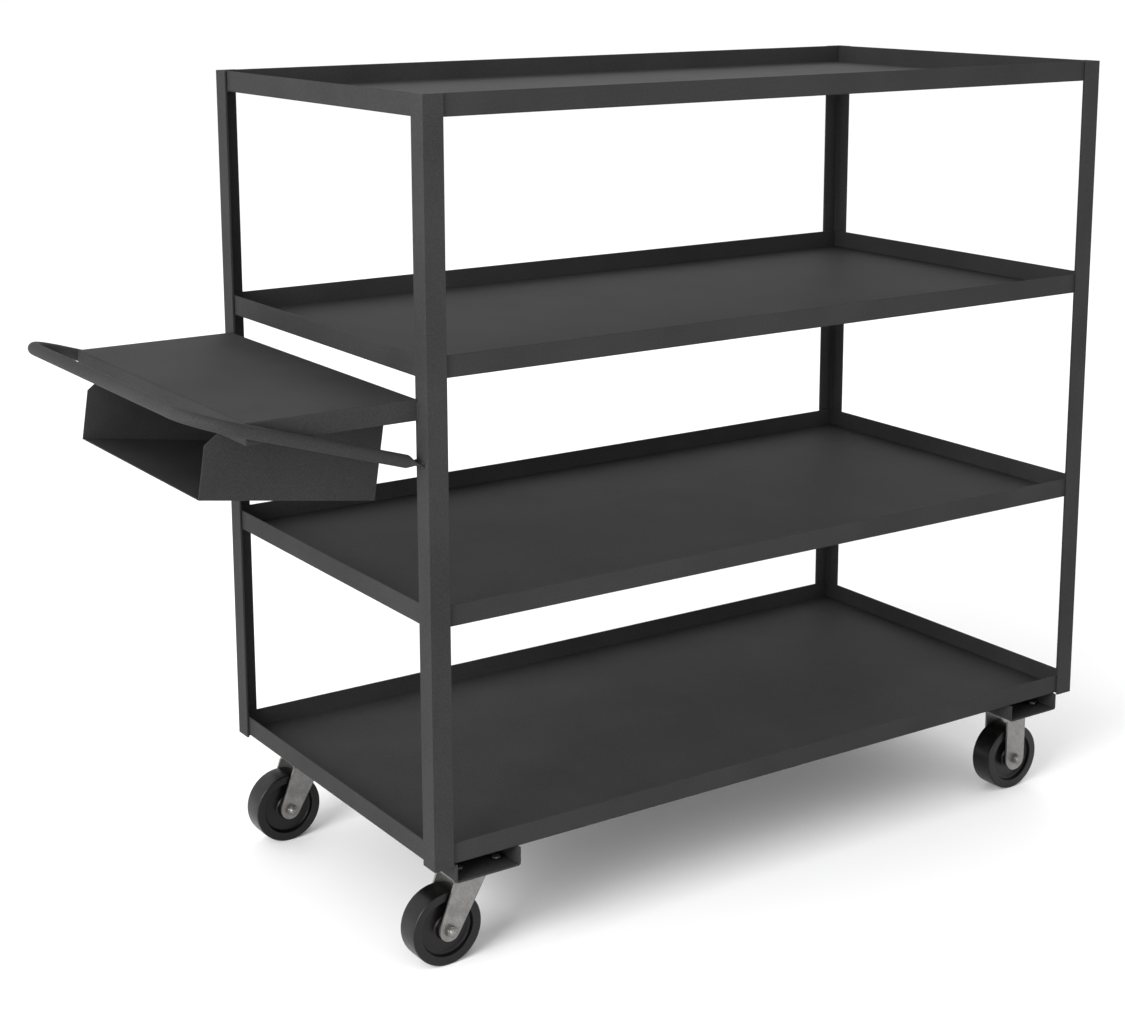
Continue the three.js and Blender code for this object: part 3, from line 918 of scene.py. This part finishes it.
# ---------------------------------------------------------------- casters

LAY_FLAT = Matrix.Rotation(-math.pi / 2, 4, "X")  # from about Z to about Y


def build_wheel(bm):
    """Moulded wheel about Y: nearly flat tread, flat rims, filleted recess and a proud hub."""
    radius, half = WHEEL_RADIUS, WHEEL_HALF
    bore, hub, hub_half = 9.9 * MM, 19.5 * MM, 27 * MM
    rim, deep = 52 * MM, 9.5 * MM
    foot = half - deep
    side = [(bore, hub_half - 0.8 * MM), (bore + 0.8 * MM, hub_half), (hub - 1.2 * MM, hub_half)]
    side += arc((hub - 1.2 * MM, hub_half - 1.2 * MM), 1.2 * MM, 70, 0, 4)
    side += [(hub + 0.6 * MM, foot + 4 * MM)]
    side += arc((hub + 4.6 * MM, foot + 4 * MM), 4 * MM, 195, 270, 5)
    side += arc((rim - 7 * MM, foot + 5 * MM), 5 * MM, 270, 345, 5)
    side += [(rim - 1.2 * MM, half - 0.9 * MM), (rim - 0.5 * MM, half - 0.25 * MM), (rim + 0.6 * MM, half)]
    side += [(radius - 2.9 * MM, half)]
    side += arc((radius - 2.9 * MM, half - 2.6 * MM), 2.6 * MM, 75, 5, 5)
    side += [(radius - 0.18 * MM, half - 7 * MM), (radius - 0.05 * MM, half - 13 * MM)]
    side += [(radius, half - 19 * MM)]
    other = [(r, -z) for r, z in side]
    turned(bm, other + list(reversed(side)), 128, LAY_FLAT)


def build_bushing(bm):
    """Sleeve through the hub with a thrust washer at each end."""
    half = FORK_INNER / 2 - 0.3 * MM
    inner = 6.6 * MM
    turned(bm, ring_section(inner, 9.5 * MM, -half, half), 48, LAY_FLAT)
    for sign in (-1, 1):
        low, high = sorted((sign * half, sign * (half - 0.6 * MM)))
        turned(bm, ring_section(inner, 14 * MM, low, high), 48, LAY_FLAT)


def build_axle_bolt(bm):
    """Washer face and hexagon head outside one leg, plain shank, and a thread that passes the other leg."""
    face = LEG_FACE
    turned(bm, ring_section(0, 9.176 * MM, face, face + 0.6 * MM), 48, LAY_FLAT)
    hex_solid(bm, AXLE_ACROSS, face + 0.4 * MM, face + 8 * MM, LAY_FLAT)
    turned(bm, ring_section(0, AXLE_RADIUS, -face + 2 * MM, face + 0.2 * MM), 40, LAY_FLAT)
    threaded(bm, AXLE_RADIUS, -face - 13 * MM, -face + 2.2 * MM, 1.95 * MM, LAY_FLAT, 40)


def build_axle_nut(bm):
    """Prevailing-torque nut: hexagon against the leg, crimped collar beyond it."""
    face, bore = -LEG_FACE, 6 * MM
    hex_solid(bm, AXLE_ACROSS, face - 8.6 * MM, face, LAY_FLAT, False, True, bore=bore)
    collar = [(bore, face - 11 * MM), (7.2 * MM, face - 11 * MM), (8.1 * MM, face - 10.3 * MM)]
    collar += [(8.6 * MM, face - 8.4 * MM), (bore, face - 8.4 * MM)]
    turned(bm, collar, 48, LAY_FLAT)


def leg_edges(axle_x, end_radius, top_x, top_z, z):
    """Where a leg's two edges are at height z: straight down to tangents of its round end."""
    axle_z = WHEEL_RADIUS
    edges = []
    for edge, sign in ((top_x[0], 1), (top_x[1], -1)):
        dx, dz = edge - axle_x, top_z - axle_z
        a = math.atan2(dz, dx) + sign * math.acos(end_radius / math.hypot(dx, dz))
        tx, tz = axle_x + end_radius * math.cos(a), axle_z + end_radius * math.sin(a)
        if z >= tz:
            f = (z - tz) / (top_z - tz)
            edges.append(tx + (edge - tx) * f)
        else:
            span = max(0.0, end_radius ** 2 - (z - axle_z) ** 2)
            edges.append(axle_x - sign * math.sqrt(span))
    return edges


def leg_section(x0, x1, inward, y, z, mirror, columns=8):
    """One loop across a fork's sheet: along its outside, and back along its inside."""
    outside, inside = [], []
    for k in range(columns + 1):
        x = x0 + (x1 - x0) * k / columns
        outside.append(Vector((x, mirror * y, z)))
        inside.append(Vector((x, mirror * (y + inward[0] * FORK_SHEET), z + inward[1] * FORK_SHEET)))
    return outside + list(reversed(inside))


def build_fork(bm, axle_x, end_radius, top_x, top_z):
    """A pressed fork: one strip of sheet down each leg and over the crown, rounded at both ends."""
    outer = FORK_INNER / 2 + FORK_SHEET
    shoulder = top_z - FORK_BEND
    heights = [WHEEL_RADIUS - end_radius * math.cos(a) for a in angles(6, 90, 12)]
    heights += [WHEEL_RADIUS + (shoulder - WHEEL_RADIUS) * i / 10 for i in range(1, 11)]
    rows = [((-1, 0), outer, z) for z in heights]
    for a in angles(10, 90, 8):
        y = outer - FORK_BEND + FORK_BEND * math.cos(a)
        rows.append(((-math.cos(a), -math.sin(a)), y, shoulder + FORK_BEND * math.sin(a)))
    sections = []
    for mirror, order in ((1, rows), (-1, reversed(rows))):
        for inward, y, z in order:
            x0, x1 = leg_edges(axle_x, end_radius, top_x, top_z, z)
            sections.append(leg_section(x0, x1, inward, y, z, mirror))
    loft(bm, sections)


def swivel_crown(bm, top):
    """Thick round crown of a swivel fork, with a rounded lower edge and the balls' groove in its top."""
    bore, rim, base = 8.3 * MM, 37 * MM, top - 5.6 * MM
    round_over, groove = 2.5 * MM, 27 * MM
    profile = [(bore, base), (33 * MM, base)]
    profile += arc((rim - round_over, top - 3.1 * MM), round_over, 270, 360, 4)
    profile += [(rim, top - 1.2 * MM), (36.2 * MM, top - 0.2 * MM), (35 * MM, top)]
    profile += [(groove + 3 * MM, top)]
    profile += [(groove + 2.6 * MM * math.cos(a), top - 2 * MM * math.sin(a)) for a in angles(15, 165, 6)]
    profile += [(groove - 3 * MM, top), (bore, top)]
    turned(bm, profile, 72)


def fork_piece(corner, kind):
    """The fork of one caster; a swivel's has its crown, and an axle that trails."""
    node = f"{kind}_fork_{corner}"
    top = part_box(node)[1].z
    x, y = caster_axis(corner)
    bm = bmesh.new()
    if kind == "swivel":
        build_fork(bm, -SWIVEL_OFFSET, 20 * MM, (-40 * MM, 25 * MM), top - 0.5 * MM)
        swivel_crown(bm, top)
    else:
        build_fork(bm, 0, 25 * MM, (-25.5 * MM, 25.5 * MM), top)
    piece = finish_mesh(node, bm, ZINC, 0.7 * MM, 3, 40)
    piece.matrix_world = Matrix.Translation((x, y, 0))
    body = f"swivel_{corner}" if kind == "swivel" else "cart_frame"
    put(piece, body, "zinc", node)


def upper_race(corner, base):
    """The pressed dish under a swivel's plate that the balls run in."""
    x, y = caster_axis(corner)
    floor = base - 6.8 * MM
    race = [(KINGPIN_HOLE, base + 0.2 * MM), (KINGPIN_HOLE, floor), (22 * MM, floor)]
    for a in angles(165, 15, 6):
        race.append((27 * MM + 4.2 * MM * math.cos(a), base - 7 * MM + 3.2 * MM * math.sin(a)))
    race += [(32 * MM, floor), (34 * MM, base - 5 * MM)]
    race += [(35.5 * MM, base - 1.5 * MM), (38 * MM, base + 0.2 * MM)]
    bm = bmesh.new()
    turned(bm, race, 72, Matrix.Translation((x, y, 0)))
    put(finish_mesh(f"upper_race_{corner}", bm, ZINC), "cart_frame", "zinc")


def plate_piece(corner, kind):
    """Caster plate with rounded corners and bolt holes; a swivel's has its upper race pressed below."""
    node = f"{kind}_plate_{corner}"
    low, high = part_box(node)
    base = high.z - PLATE_THICK
    bm = bmesh.new()
    loft(bm, [rect_loop((low.x, high.x), (low.y, high.y), 9 * MM, z, 8) for z in (base, high.z)])
    piece = finish_mesh(node, bm, ZINC, 0.6 * MM, 2, 40)
    x, y = caster_axis(corner)
    z = (base - MM, high.z + MM)
    cutters = [hole(bx, by, *z, 5.3 * MM) for bx, by in bolt_places(x, y)]
    if kind == "swivel":
        cutters.append(hole(x, y, *z, KINGPIN_HOLE, 32))
    cut(piece, cutters)
    put(piece, "cart_frame", "zinc", node)
    if kind == "swivel":
        upper_race(corner, base)


def ball_ring(corner):
    """The loose balls of a swivel, in their groove."""
    node = f"ball_ring_{corner}"
    low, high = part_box(node)
    centre = (low + high) / 2
    radius = (high.z - low.z) / 2
    pitch = (high.x - low.x) / 2 - radius
    count = int(math.pi / math.asin(radius / pitch))
    bm = bmesh.new()
    for i in range(count):
        a = 2 * math.pi * i / count
        place = centre + Vector((pitch * math.cos(a), pitch * math.sin(a), 0))
        bmesh.ops.create_icosphere(bm, subdivisions=2, radius=radius * 0.99, matrix=Matrix.Translation(place))
    put(finish_mesh(node, bm, STEEL), f"swivel_{corner}", "steel", node)


def kingpin(corner):
    """Round-headed kingpin and the lock nut under the crown."""
    node = f"kingpin_{corner}"
    low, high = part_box(node)
    x, y = caster_axis(corner)
    place = Matrix.Translation((x, y, 0))
    head = high.z - 7 * MM
    shank, rim = 7.8 * MM, 13 * MM
    dome = [(0, low.z + 1 * MM), (shank, low.z + 1 * MM), (shank, head)]
    dome += [(12.4 * MM, head), (rim, head + 0.6 * MM)]
    dome += [(rim * math.cos(a), head + 1.5 * MM + 5.5 * MM * math.sin(a)) for a in angles(0, 90, 8)]
    dome[-1] = (0, high.z)
    bm = bmesh.new()
    turned(bm, dome, 48, place)
    hex_solid(bm, 24 * MM, low.z, low.z + 9 * MM, place, False, True, bore=7.4 * MM)
    put(finish_mesh(node, bm, ZINC), "cart_frame", "zinc", node)


WHEEL_MESH = shared("wheel", build_wheel, RESIN)
BUSHING_MESH = shared("spanner_bushing", build_bushing, STEEL)
AXLE_BOLT_MESH = shared("axle_bolt", build_axle_bolt, ZINC)
AXLE_NUT_MESH = shared("axle_nut", build_axle_nut, ZINC)


def caster(corner):
    """One whole caster, with its four bolts and their nuts."""
    kind = "swivel" if "rear" in corner else "rigid"
    body = f"swivel_{corner}" if kind == "swivel" else "cart_frame"
    plate_piece(corner, kind)
    fork_piece(corner, kind)
    if kind == "swivel":
        ball_ring(corner)
        kingpin(corner)
    low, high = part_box(f"wheel_{corner}")
    axle = (low + high) / 2
    put(copy_of(f"wheel_{corner}", WHEEL_MESH, axle), f"wheel_{corner}", "phenolic", f"wheel_{corner}")
    for part, mesh, slot in (
        ("spanner_bushing", BUSHING_MESH, "steel"),
        ("axle_bolt", AXLE_BOLT_MESH, "zinc"),
        ("axle_nut", AXLE_NUT_MESH, "zinc"),
    ):
        node = f"{part}_{corner}"
        put(copy_of(node, mesh, axle), body, slot, node)
    x, y = caster_axis(corner)
    plate_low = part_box(f"{kind}_plate_{corner}")[1].z - PLATE_THICK
    for i, (bx, by) in enumerate(bolt_places(x, y)):
        node = f"mounting_bolt_{corner}_{i + 1}"
        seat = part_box(node)[1].z - BOLT_HEAD
        turn = math.radians(17 + 71 * i)
        put(copy_of(node, BOLT_MESH, (bx, by, seat), turn), "cart_frame", "zinc", node)
        nut = copy_of(f"plate_nut_{corner}_{i + 1}", PLATE_NUT_MESH, (bx, by, plate_low), turn + 0.4)
        put(nut, "cart_frame", "zinc")


for corner in CORNERS:
    caster(corner)


# ---------------------------------------------------------------- floor, light and camera

def studio():
    """Floor, even white sky and soft lamps."""
    bm = bmesh.new()
    bmesh.ops.create_grid(bm, x_segments=1, y_segments=1, size=80)
    floor = finish_mesh("floor", bm, pale_floor())
    world = bpy.data.worlds.new("studio")
    world.use_nodes = True
    background = world.node_tree.nodes["Background"]
    background.inputs["Color"].default_value = (1, 1, 1, 1)
    background.inputs["Strength"].default_value = SKY_STRENGTH
    bpy.context.scene.world = world
    bpy.context.scene.view_settings.view_transform = "Standard"
    for name, place, aim, size, power in LAMPS:
        light = bpy.data.lights.new(name, "AREA")
        light.shape = "SQUARE"
        light.size = size
        light.energy = power
        lamp = bpy.data.objects.new(name, light)
        lamp.location = place
        lamp.rotation_euler = (Vector(aim) - Vector(place)).to_track_quat("-Z", "Y").to_euler()
        bpy.context.scene.collection.objects.link(lamp)


def camera():
    """The camera, seen along its yaw and pitch and turned by its roll."""
    data = bpy.data.cameras.new("camera")
    data.lens = CAMERA_LENS
    data.sensor_width = 36
    data.shift_y = CAMERA_SHIFT
    data.clip_end = 300
    lens = bpy.data.objects.new("camera", data)
    forward = Vector((
        math.sin(CAMERA_YAW) * math.cos(CAMERA_PITCH),
        math.cos(CAMERA_YAW) * math.cos(CAMERA_PITCH),
        math.sin(CAMERA_PITCH),
    ))
    lens.location = CAMERA_PLACE
    lens.rotation_mode = "QUATERNION"
    level = forward.to_track_quat("-Z", "Y")
    lens.rotation_quaternion = level @ Matrix.Rotation(CAMERA_ROLL, 3, "Z").to_quaternion()
    bpy.context.scene.collection.objects.link(lens)
    bpy.context.scene.camera = lens


studio()
camera()
